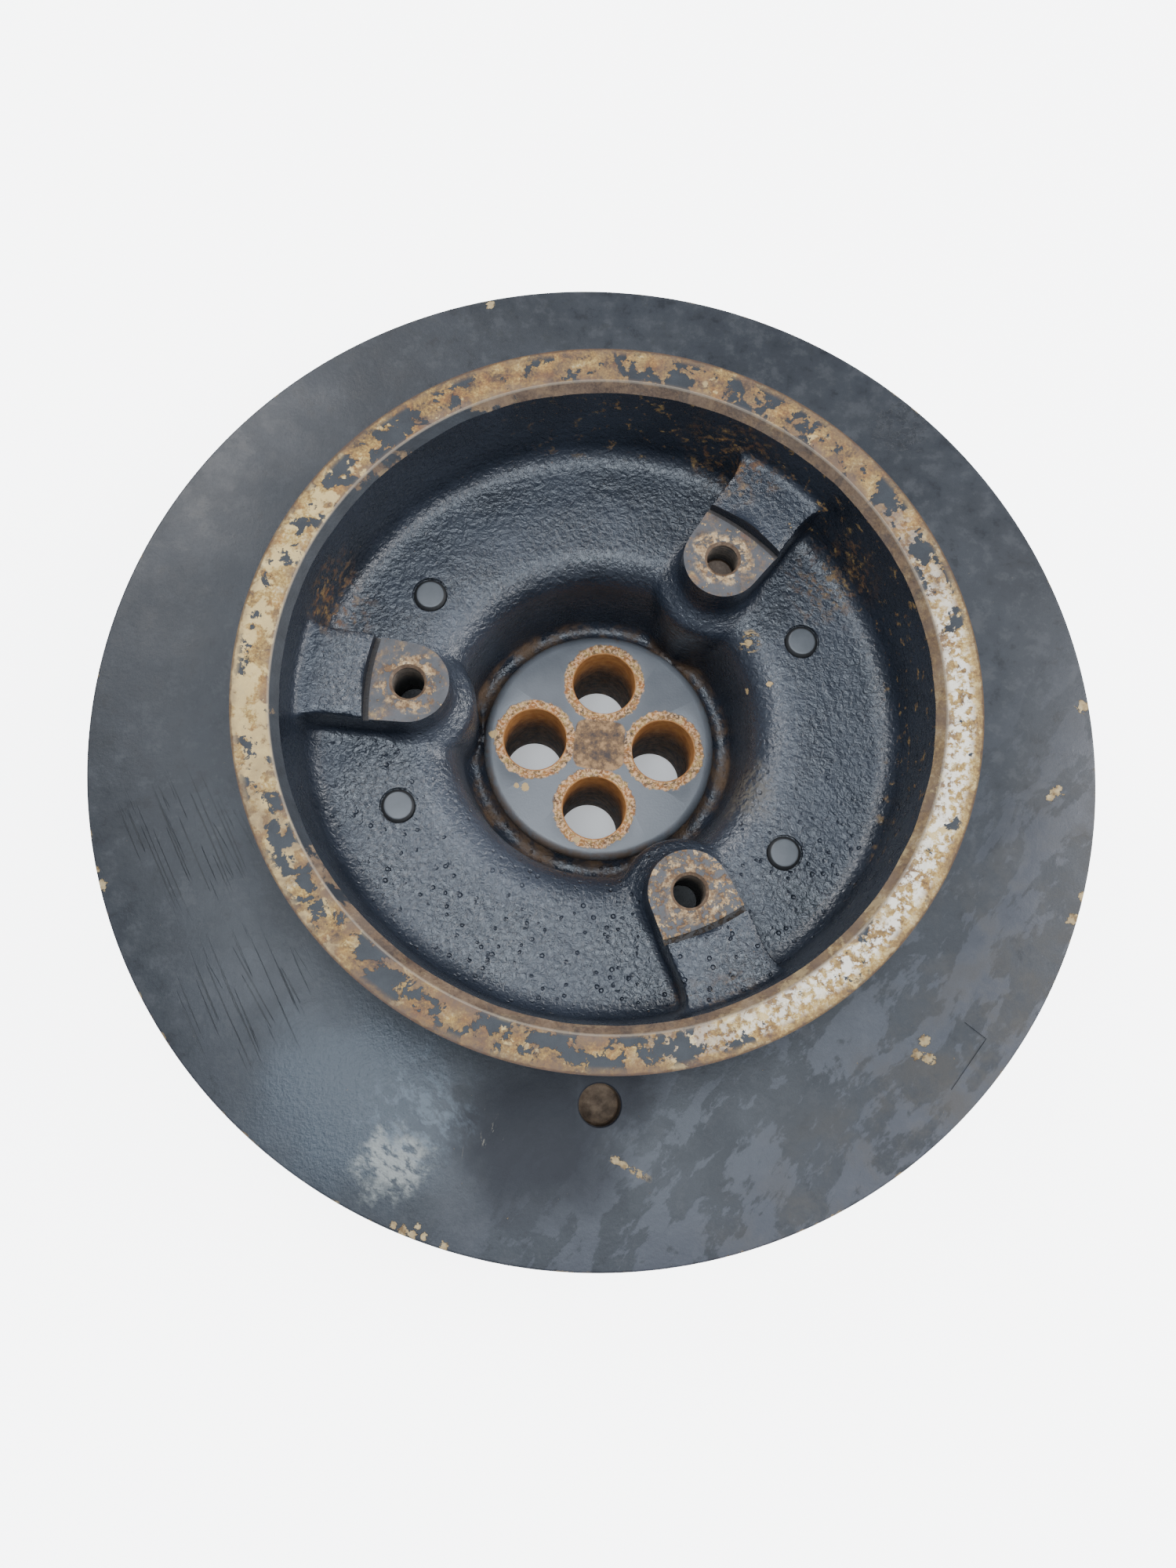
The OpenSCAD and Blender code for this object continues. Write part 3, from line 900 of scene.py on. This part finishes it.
def ring_paint():
    """Satin charcoal paint on the heavy ring: water stains, scratches, a rubbed patch with a painted bluish
    sheen over and round it, painted shade near the timing hole, and tan chips.
    """
    f = Finish("ring_paint", Specular_IOR_Level=0.4)
    cloud = f.noise(f.here, 38, 5.0, 0.6)
    colour = f.ramp(cloud, (0.3, (0.012, 0.014, 0.018)), (0.7, (0.024, 0.027, 0.033)))
    mottle = f.noise(f.here, 7, 8.0, 0.68)
    colour = f.over(f.step(mottle, 0.50, 0.66, 0.0, 0.55), colour, (0.040, 0.042, 0.047))
    colour = f.over(f.step(mottle, 0.46, 0.32, 0.0, 0.7), colour, (0.007, 0.008, 0.011))
    wet = f.towards(-50, 60, 150)
    strokes = f.drawn(50, 2.1)
    stains = f.times(f.islands(15.0, 0.48, 0.02, 3.0, strokes), wet)
    drips = f.times(f.islands(5.0, 0.38, 0.03, 30.0, strokes), wet)
    colour = f.over(f.times(f.most(stains, drips), 0.48), colour, (0.060, 0.064, 0.080))
    shade = f.most(f.patch(-20, -134, RING_TOP, 24, 0.3, 0.5), f.patch(4, -118, RING_TOP, 14, 0.3, 0.5))
    colour = f.over(f.times(shade, 0.8), colour, (0.006, 0.007, 0.012))
    dusty = f.times(f.islands(16.0, 0.46, 0.12, 41.0), f.towards(-38, 110, 170))
    colour = f.over(f.times(dusty, 0.6), colour, (0.088, 0.080, 0.070))
    damp = f.times(f.islands(4.5, 0.36, 0.06, 13.0), f.towards(95, 110, 165))
    colour = f.over(f.times(damp, 0.6), colour, (0.014, 0.016, 0.018))
    # Rubbed patch: real polish (lower roughness, stronger grain), with a painted bluish sheen in its colour.
    rubbed_patch_and_sheen = f.patch(-80, -122, RING_TOP, 30, 0.3, 0.45)
    scuff = f.times(
        f.patch(-67, -141, RING_TOP, 9, 0.8, 0.5), f.islands(2.2, 0.56, 0.08, 23.0, f.drawn(-35, 2.0))
    )
    colour = f.over(f.times(rubbed_patch_and_sheen, 0.6), colour, (0.044, 0.059, 0.077))
    colour = f.over(f.times(scuff, 0.7), colour, (0.26, 0.27, 0.25))
    # Painted sheen: a bluish-white glaze laid round the rubbed patch and the scuff.
    painted_bluish_sheen = f.times(
        f.patch(-60, -126, RING_TOP, 16, 0.4, 0.5), f.islands(3.2, 0.45, 0.08, 27.0, f.drawn(-50, 1.8))
    )
    colour = f.over(f.times(painted_bluish_sheen, 0.55), colour, (0.10, 0.125, 0.15))
    fine = f.step(f.noise(f.drawn(-64, 22, 0.36), 2.4, 1.0), 0.63, 0.67)
    bold = f.step(f.noise(f.drawn(-58, 16, 0.55), 2.4, 1.0), 0.70, 0.72)
    streaks = f.most(fine, bold)
    scratch_zone = f.most(
        f.patch(-143, -38, RING_TOP, 20, 0.3, 0.4), f.patch(-116, -90, RING_TOP, 19, 0.3, 0.4)
    )
    scratches = f.times(streaks, scratch_zone)
    colour = f.over(f.times(scratches, 0.8), colour, (0.006, 0.007, 0.008))
    blemish = f.times(f.patch(113, 122, RING_TOP, 10, 0.4, 0.3), f.islands(3.0, 0.48, 0.04, 5.0))
    spot = f.patch(-45, -119.5, RING_TOP, 3.4, 0.35, 0.2)
    colour = f.over(f.times(f.most(blemish, spot), 0.8), colour, (0.012, 0.014, 0.018))
    chips = [f.patch(x, y, RING_TOP, size, 0.8, 0.12) for x, y, size in RING_CHIPS]
    worn = f.plus(f.radius, f.times(f.noise(f.here, 4.0, 5.0), 4.0))
    brim = f.times(f.step(worn, 176.6, 177.1), f.islands(9.0, 0.46, 0.05, 50.0))
    specks = f.times(f.islands(1.7, 0.19, 0.02, 60.0), f.blend(f.towards(-70, 60, 140), 0.35, 1.0))
    veins = f.times(
        f.patch(-39, -133, RING_TOP, 8, 0.3, 0.3), f.islands(3.0, 0.34, 0.03, 77.0, f.drawn(80, 3.0))
    )
    colour = f.over(f.times(veins, 0.7), colour, (0.16, 0.145, 0.115))
    line = f.times(f.towards(62, -123.4, -122.6), f.towards(242, 120.6, 121.4))
    flaked = f.times(f.patch(9, -143, RING_TOP, 6.2, 0.2, 0.3), f.islands(2.4, 0.50, 0.02, 35.0))
    chips.append(f.times(line, flaked))
    chipped = f.most(*chips, f.times(brim, 0.8), f.times(specks, 0.7))
    colour = f.over(
        chipped,
        colour,
        f.ramp(
            f.noise(f.here, 2.5, 4.0),
            (0.35, (0.13, 0.080, 0.035)),
            (0.5, (0.30, 0.215, 0.105)),
            (0.7, (0.40, 0.31, 0.17)),
        ),
    )
    sides = f.times(f.step(f.height, RING_TOP - 1, RING_TOP - 4), f.islands(12.0, 0.40, 0.06, 70.0))
    colour = f.over(f.times(sides, 0.75), colour, f.rust(9.0, 0.22, 0.3)["Color"])
    roughness = f.step(f.noise(f.here, 25, 4.0), 0.3, 0.7, 0.40, 0.50)
    roughness = f.plus(roughness, f.step(mottle, 0.35, 0.65, -0.05, 0.05))
    roughness = f.blend(f.most(stains, drips), roughness, 0.36)
    roughness = f.blend(f.times(rubbed_patch_and_sheen, 0.8), roughness, 0.30)
    roughness = f.blend(f.most(chipped, sides, dusty, f.times(shade, 0.6)), roughness, 0.78)
    grain = f.times(f.noise(f.here, 1.3, 4.0, 0.6), f.blend(rubbed_patch_and_sheen, 0.07, 0.26))
    height = f.plus(grain, f.times(f.noise(f.here, 30, 2.0), 0.35))
    height = f.minus(height, f.times(f.most(chipped, scratches, blemish), 0.10))
    return f.done(colour, roughness, height)


def timing_rust():
    """Blind hole with a light brown bottom."""
    f = Finish("timing_rust")
    tone = f.noise(f.here, 4.0, 6.0, 0.65)
    bottom = f.step(f.height, RING_TOP - TIMING_DEPTH + 1.5, RING_TOP - TIMING_DEPTH + 0.5)
    wall = f.ramp(tone, (0.3, (0.04, 0.03, 0.022)), (0.7, (0.12, 0.085, 0.055)))
    floor = f.ramp(tone, (0.35, (0.070, 0.044, 0.027)), (0.65, (0.22, 0.15, 0.095)))
    return f.done(f.over(bottom, wall, floor), 0.8, f.times(tone, 0.3))


def pin_paint():
    """Pin ends under a thin coat of grey paint, with the chamfer and sides painted near black as shade in the
    gap.
    """
    f = Finish("pin_paint")
    cloud = f.noise(f.here, 5, 4.0)
    colour = f.ramp(cloud, (0.3, (0.050, 0.054, 0.060)), (0.7, (0.072, 0.077, 0.085)))
    # Painted shade: the chamfer and sides, down in the gap, are coloured near black.
    side = f.step(f.height, FLOOR + 0.26, FLOOR + 0.1)
    colour = f.over(side, colour, (0.007, 0.007, 0.008))
    return f.done(
        colour,
        f.blend(side, f.step(cloud, 0.3, 0.7, 0.36, 0.48), 0.7),
        f.times(f.noise(f.here, 0.7, 2.0), 0.02),
    )


def carrier_steel():
    """Pressed steel of the carrier, thinly painted and rusting."""
    f = Finish("carrier_steel", Metallic=0.2)
    mask = f.islands(10.0, 0.45, 0.04, 8.0)
    rust = f.rust(5.0, 0.26, 0.5)
    paint = f.ramp(f.noise(f.here, 15, 4.0), (0.3, (0.022, 0.024, 0.027)), (0.7, (0.045, 0.048, 0.052)))
    height = f.plus(f.times(rust["Height"], mask), f.times(f.noise(f.here, 1.0, 3.0), 0.03))
    return f.done(f.over(mask, paint, rust["Color"]), f.blend(mask, 0.42, 0.8), height)


def rubber_black():
    """Aged black rubber with a dry bloom."""
    f = Finish("rubber_black")
    bloom = f.noise(f.here, 7, 6.0, 0.65)
    colour = f.ramp(bloom, (0.35, (0.010, 0.010, 0.010)), (0.75, (0.035, 0.034, 0.032)))
    return f.done(colour, f.step(bloom, 0.3, 0.7, 0.55, 0.8), f.times(f.noise(f.here, 1.4, 4.0), 0.08))


def studio_floor():
    """Pale floor with faint mottling, glowing for the camera, with a painted shadow under the part where that
    glow fades.
    """
    f = Finish("studio_floor", Emission_Strength=5.0)
    cloud = f.noise(f.here, 220, 4.0)
    seen = f.node("LightPath").outputs["Is Camera Ray"]
    # Painted shadow: the camera-only glow fades under the part, leaving the floor there dim.
    glow_with_painted_shadow = f.step(f.radius, 70, 172, 0.055, 1.0)
    f.set(f.shader.inputs["Emission Color"], f.over(f.times(seen, glow_with_painted_shadow), (0, 0, 0), (1, 1, 1)))
    return f.done(
        f.ramp(cloud, (0.2, (0.86, 0.86, 0.86)), (0.8, (0.90, 0.90, 0.90))), 0.9, f.times(cloud, 0.1)
    )


def near(c, angles, r, reach):
    """Whether a point is within reach of one of the holes on a pitch circle."""
    return any((c - at(a, r).translation).xy.length < reach for a in angles)


def hub_zone(c, up):
    """Which finish of the pulley a face takes, by its middle in millimetres and how far it faces up."""
    r = c.xy.length
    if c.z > RIM_TOP - RIM_CHAMFER - 0.2 and r > MOUTH_R - 1.2 and up > 0.5:
        return RIM_FACE
    if r < 76 and c.z < PAD + 0.4 and c.z > 60 and near(c, BOSS_ANGLES, BOSS_PCR, 6.25) and up < 0.99:
        return THREADS
    if PAD - 1.6 < c.z < PAD + 0.1 and r < SPIGOT_R + 0.1 and (up > 0.9 or r > SPIGOT_R - 2):
        return PADS
    if c.z < PLATE - 0.05 and near(c, CRANK_ANGLES, CRANK_PCR, CRANK_HOLE_R + 0.9):
        return BORES
    if r < PLATE_R + 0.05 and 42 < c.z < PLATE + 0.1:
        return HUB_PLATE
    if r > 106 or (c.z < WEB_LOW + 0.5 and r > BARREL_R) or c.z < 41:
        return OUTSIDE
    return DISH


def ring_zone(c, up):
    """The timing hole is bare and rusty, the rest painted."""
    return 1 if near(c, [TIMING_ANGLE], TIMING_R, TIMING_HOLE_R + 0.2) and c.z < RING_TOP - 0.5 else 0


def paint_zones(obj, finishes, zone):
    """Gives each face the finish that zone picks for it."""
    obj.data.materials.clear()
    for finish in finishes:
        obj.data.materials.append(finish)
    for face in obj.data.polygons:
        face.material_index = zone(face.center / MM, face.normal.z)


paint_zones(
    hub,
    [dish_paint(), rim_rust(), pad_rust(), thread_rust(), plate_paint(), bore_rust(), outside_iron()],
    hub_zone,
)
paint_zones(ring, [ring_paint(), timing_rust()], ring_zone)
carrier.data.materials.append(carrier_steel())
rubber.data.materials.append(rubber_black())
pin_finish = pin_paint()
for pin in pins:
    pin.data.materials.append(pin_finish)


# ---------------------------------------------------------------- stage


LIT_POINT = Vector((0, 0, 0.05))


def make_floor():
    """Wide level ground for the part to stand on."""
    bm = bmesh.new()
    bmesh.ops.create_grid(bm, x_segments=2, y_segments=2, size=4)
    ground = stand("floor", bm)
    ground.data.materials.append(studio_floor())


def softbox(name, place, size, power, colour=(1, 1, 1)):
    """A square soft light at place, turned towards the middle of the part."""
    data = bpy.data.lights.new(name, "AREA")
    data.shape, data.size, data.energy, data.color = "SQUARE", size, power, colour
    lamp = bpy.data.objects.new(name, data)
    lamp.location = place
    lamp.rotation_euler = (LIT_POINT - Vector(place)).to_track_quat("-Z", "Y").to_euler()
    bpy.context.scene.collection.objects.link(lamp)


make_floor()
softbox("key", (-1.2, 1.5, 2.0), 1.2, 45)
softbox("side", (1.6, 0.2, 1.2), 1.0, 32)
softbox("overhead", (0, -0.15, 2.2), 1.3, 34, (0.80, 0.90, 1))
softbox("fill", (1.3, -1.0, 2.0), 0.9, 14, (0.92, 0.95, 1))
softbox("sheen", (-0.42, -0.22, 2.0), 0.35, 6, (0.85, 0.93, 1))

world = bpy.data.worlds.new("studio")
world.use_nodes = True
sky = world.node_tree.nodes["Background"].inputs
sky["Color"].default_value = (0.82, 0.89, 1, 1)
sky["Strength"].default_value = 0.7
bpy.context.scene.world = world

camera = bpy.data.objects.new("camera", bpy.data.cameras.new("camera"))
camera.location = (-0.0238, -0.1095, 0.4757)
camera.rotation_euler = (0.2198, -0.0465, 0)
camera.data.sensor_width = 36
camera.data.lens = 28.56
camera.data.clip_start = 0.01
bpy.context.scene.collection.objects.link(camera)
bpy.context.scene.camera = camera
